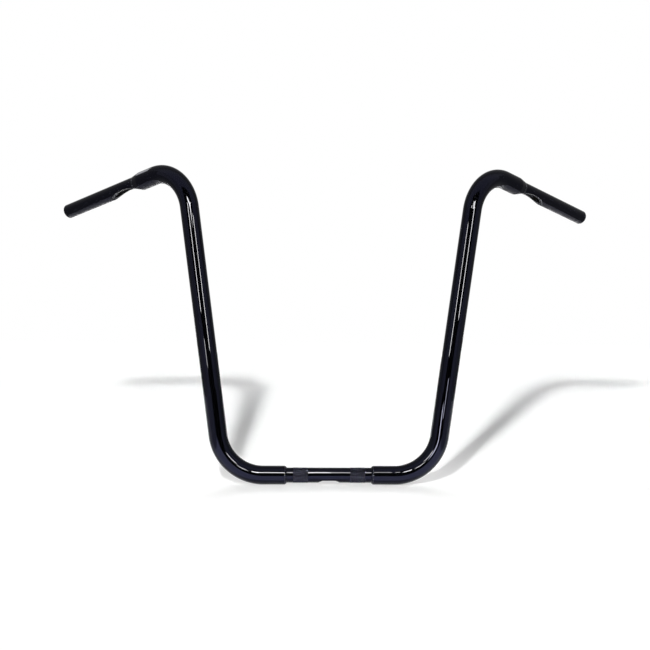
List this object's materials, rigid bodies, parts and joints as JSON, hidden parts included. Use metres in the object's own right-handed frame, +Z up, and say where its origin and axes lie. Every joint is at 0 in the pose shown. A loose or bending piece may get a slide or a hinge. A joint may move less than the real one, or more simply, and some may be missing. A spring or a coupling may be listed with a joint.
{
  "type": "ape hanger handlebar",
  "caption": "Tall swept-back motorbike handlebar of fat riser tubes on a slim knurled clamp tube, with slim grip ends and wire slots, welded and painted gloss black.",
  "frame": {"origin": "middle of the clamp tube's axis, where the bar is clamped", "axes": "+X along the clamp tube to the rider's left, +Y back to the rider, +Z up the uprights"},
  "size_m": [0.9706, 0.2112, 0.5409],
  "materials": {
    "gloss_black": "gloss black paint on steel tube"
  },
  "bodies": {
    "root": {"clamp_tube": "gloss_black", "left_riser_tube": "gloss_black", "right_riser_tube": "gloss_black", "left_grip_tube": "gloss_black", "right_grip_tube": "gloss_black", "left_clamp_weld": "gloss_black", "right_clamp_weld": "gloss_black", "left_grip_weld": "gloss_black", "right_grip_weld": "gloss_black"}
  },
  "joints": []
}
